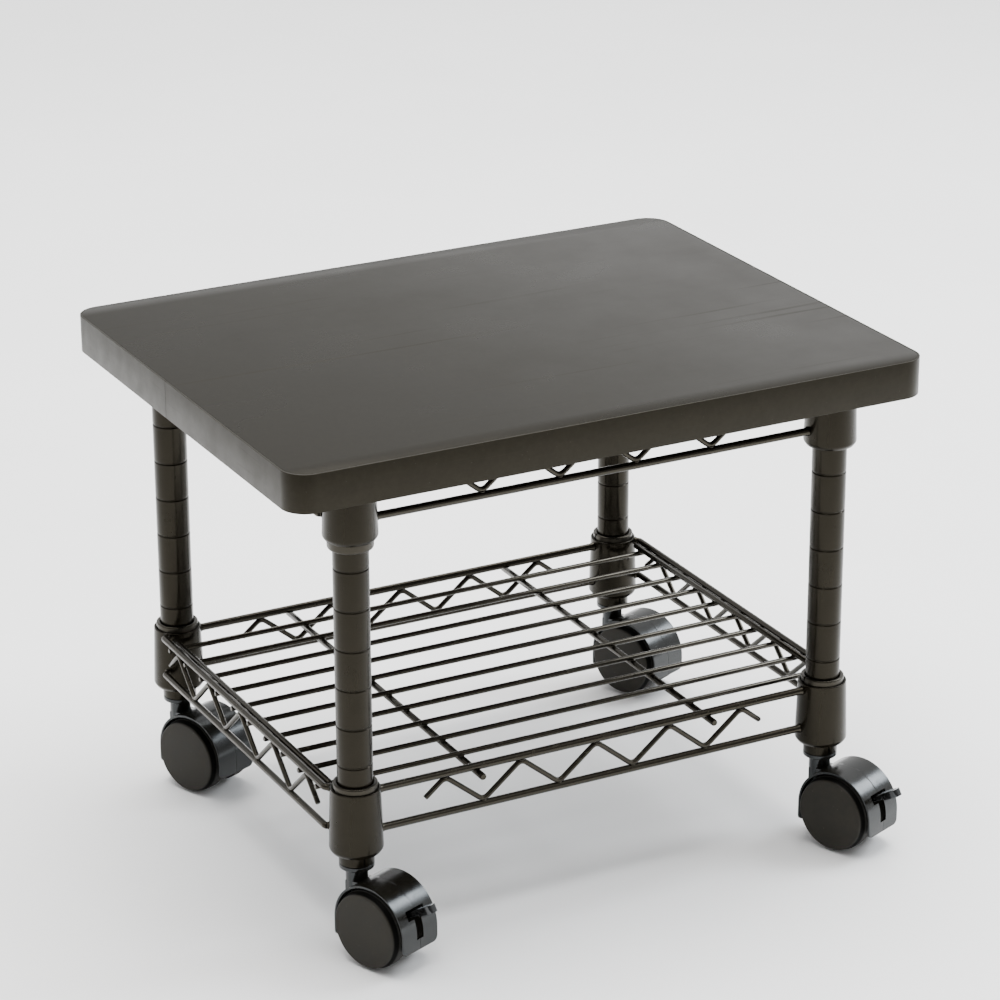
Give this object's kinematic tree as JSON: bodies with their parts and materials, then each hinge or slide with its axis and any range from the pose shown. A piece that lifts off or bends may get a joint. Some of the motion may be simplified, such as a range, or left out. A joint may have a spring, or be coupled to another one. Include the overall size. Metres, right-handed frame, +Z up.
{
  "type": "mobile printer stand",
  "caption": "Low rolling stand for a printer: a black laminate top on grooved posts with a wire shelf below and swivelling twin-wheel casters, some with brake levers.",
  "frame": {"origin": "on the floor, at the centre of the stand's overall outline with the casters trailing as stored", "axes": "+X towards the right end seen from the front, +Y towards the back, +Z up"},
  "size_m": [0.4318, 0.3644, 0.326],
  "materials": {
    "top_laminate": "black laminate over board, satin",
    "edge_band": "satin plastic edge band",
    "powder_coat": "semi-gloss black powder coat",
    "wire_coat": "semi-gloss black powder coat on drawn wire",
    "sleeve_plastic": "moulded, satin",
    "caster_plastic": "moulded nylon, satin",
    "wheel_plastic": "moulded nylon, dull",
    "lever_plastic": "moulded, slightly glossy",
    "plated_steel": "zinc plated, dull"
  },
  "bodies": {
    "stand": {"caster_stem_back_left": "plated_steel", "caster_stem_back_right": "plated_steel", "caster_stem_front_left": "plated_steel", "caster_stem_front_right": "plated_steel", "edge_band": "edge_band", "lower_collar_back_left": "powder_coat", "lower_collar_back_right": "powder_coat", "lower_collar_front_left": "powder_coat", "lower_collar_front_right": "powder_coat", "lower_sleeve_back_left": "sleeve_plastic", "lower_sleeve_back_right": "sleeve_plastic", "lower_sleeve_front_left": "sleeve_plastic", "lower_sleeve_front_right": "sleeve_plastic", "lower_truss_back": "wire_coat", "lower_truss_front": "wire_coat", "lower_truss_left": "wire_coat", "lower_truss_right": "wire_coat", "post_back_left": "powder_coat", "post_back_right": "powder_coat", "post_front_left": "powder_coat", "post_front_right": "powder_coat", "post_insert_back_left": "caster_plastic", "post_insert_back_right": "caster_plastic", "post_insert_front_left": "caster_plastic", "post_insert_front_right": "caster_plastic", "shelf_grille": "wire_coat", "top_board": "top_laminate", "upper_collar_back_left": "powder_coat", "upper_collar_back_right": "powder_coat", "upper_collar_front_left": "powder_coat", "upper_collar_front_right": "powder_coat", "upper_sleeve_back_left": "sleeve_plastic", "upper_sleeve_back_right": "sleeve_plastic", "upper_sleeve_front_left": "sleeve_plastic", "upper_sleeve_front_right": "sleeve_plastic", "upper_truss_back": "wire_coat", "upper_truss_front": "wire_coat", "upper_truss_left": "wire_coat", "upper_truss_right": "wire_coat"},
    "caster_front_left": {"caster_body_front_left": "caster_plastic", "caster_axle_front_left": "plated_steel"},
    "wheel_near_front_left": {"caster_wheel_near_front_left": "wheel_plastic"},
    "wheel_far_front_left": {"caster_wheel_far_front_left": "wheel_plastic"},
    "brake_front_left": {"brake_lever_front_left": "lever_plastic"},
    "caster_front_right": {"caster_body_front_right": "caster_plastic", "caster_axle_front_right": "plated_steel"},
    "wheel_near_front_right": {"caster_wheel_near_front_right": "wheel_plastic"},
    "wheel_far_front_right": {"caster_wheel_far_front_right": "wheel_plastic"},
    "brake_front_right": {"brake_lever_front_right": "lever_plastic"},
    "caster_back_left": {"caster_body_back_left": "caster_plastic", "caster_axle_back_left": "plated_steel"},
    "wheel_near_back_left": {"caster_wheel_near_back_left": "wheel_plastic"},
    "wheel_far_back_left": {"caster_wheel_far_back_left": "wheel_plastic"},
    "caster_back_right": {"caster_body_back_right": "caster_plastic", "caster_axle_back_right": "plated_steel"},
    "wheel_near_back_right": {"caster_wheel_near_back_right": "wheel_plastic"},
    "wheel_far_back_right": {"caster_wheel_far_back_right": "wheel_plastic"}
  },
  "joints": [
    {"name": "swivel_front_left", "type": "hinge", "parent": "stand", "child": "caster_front_left", "pos_m": [-0.1653, -0.12263, 0.042], "axis": [0, 0, 1], "continuous": true},
    {"name": "spin_near_front_left", "type": "hinge", "parent": "caster_front_left", "child": "wheel_near_front_left", "pos_m": [-0.15668, -0.14395, 0.025], "axis": [0.9272, 0.3746, 0], "continuous": true},
    {"name": "spin_far_front_left", "type": "hinge", "parent": "caster_front_left", "child": "wheel_far_front_left", "pos_m": [-0.15668, -0.14395, 0.025], "axis": [0.9272, 0.3746, 0], "continuous": true},
    {"name": "brake_front_left", "type": "hinge", "parent": "caster_front_left", "child": "brake_front_left", "pos_m": [-0.15668, -0.14395, 0.025], "axis": [0.9272, 0.3746, 0], "range_deg": [0, 28]},
    {"name": "swivel_front_right", "type": "hinge", "parent": "stand", "child": "caster_front_right", "pos_m": [0.1653, -0.12263, 0.042], "axis": [0, 0, 1], "continuous": true},
    {"name": "spin_near_front_right", "type": "hinge", "parent": "caster_front_right", "child": "wheel_near_front_right", "pos_m": [0.17392, -0.14395, 0.025], "axis": [0.9272, 0.3746, 0], "continuous": true},
    {"name": "spin_far_front_right", "type": "hinge", "parent": "caster_front_right", "child": "wheel_far_front_right", "pos_m": [0.17392, -0.14395, 0.025], "axis": [0.9272, 0.3746, 0], "continuous": true},
    {"name": "brake_front_right", "type": "hinge", "parent": "caster_front_right", "child": "brake_front_right", "pos_m": [0.17392, -0.14395, 0.025], "axis": [0.9272, 0.3746, 0], "range_deg": [0, 28]},
    {"name": "swivel_back_left", "type": "hinge", "parent": "stand", "child": "caster_back_left", "pos_m": [-0.1653, 0.15037, 0.042], "axis": [0, 0, 1], "continuous": true},
    {"name": "spin_near_back_left", "type": "hinge", "parent": "caster_back_left", "child": "wheel_near_back_left", "pos_m": [-0.15668, 0.12904, 0.025], "axis": [0.9272, 0.3746, 0], "continuous": true},
    {"name": "spin_far_back_left", "type": "hinge", "parent": "caster_back_left", "child": "wheel_far_back_left", "pos_m": [-0.15668, 0.12904, 0.025], "axis": [0.9272, 0.3746, 0], "continuous": true},
    {"name": "swivel_back_right", "type": "hinge", "parent": "stand", "child": "caster_back_right", "pos_m": [0.1653, 0.15037, 0.042], "axis": [0, 0, 1], "continuous": true},
    {"name": "spin_near_back_right", "type": "hinge", "parent": "caster_back_right", "child": "wheel_near_back_right", "pos_m": [0.17392, 0.12904, 0.025], "axis": [0.9272, 0.3746, 0], "continuous": true},
    {"name": "spin_far_back_right", "type": "hinge", "parent": "caster_back_right", "child": "wheel_far_back_right", "pos_m": [0.17392, 0.12904, 0.025], "axis": [0.9272, 0.3746, 0], "continuous": true}
  ]
}
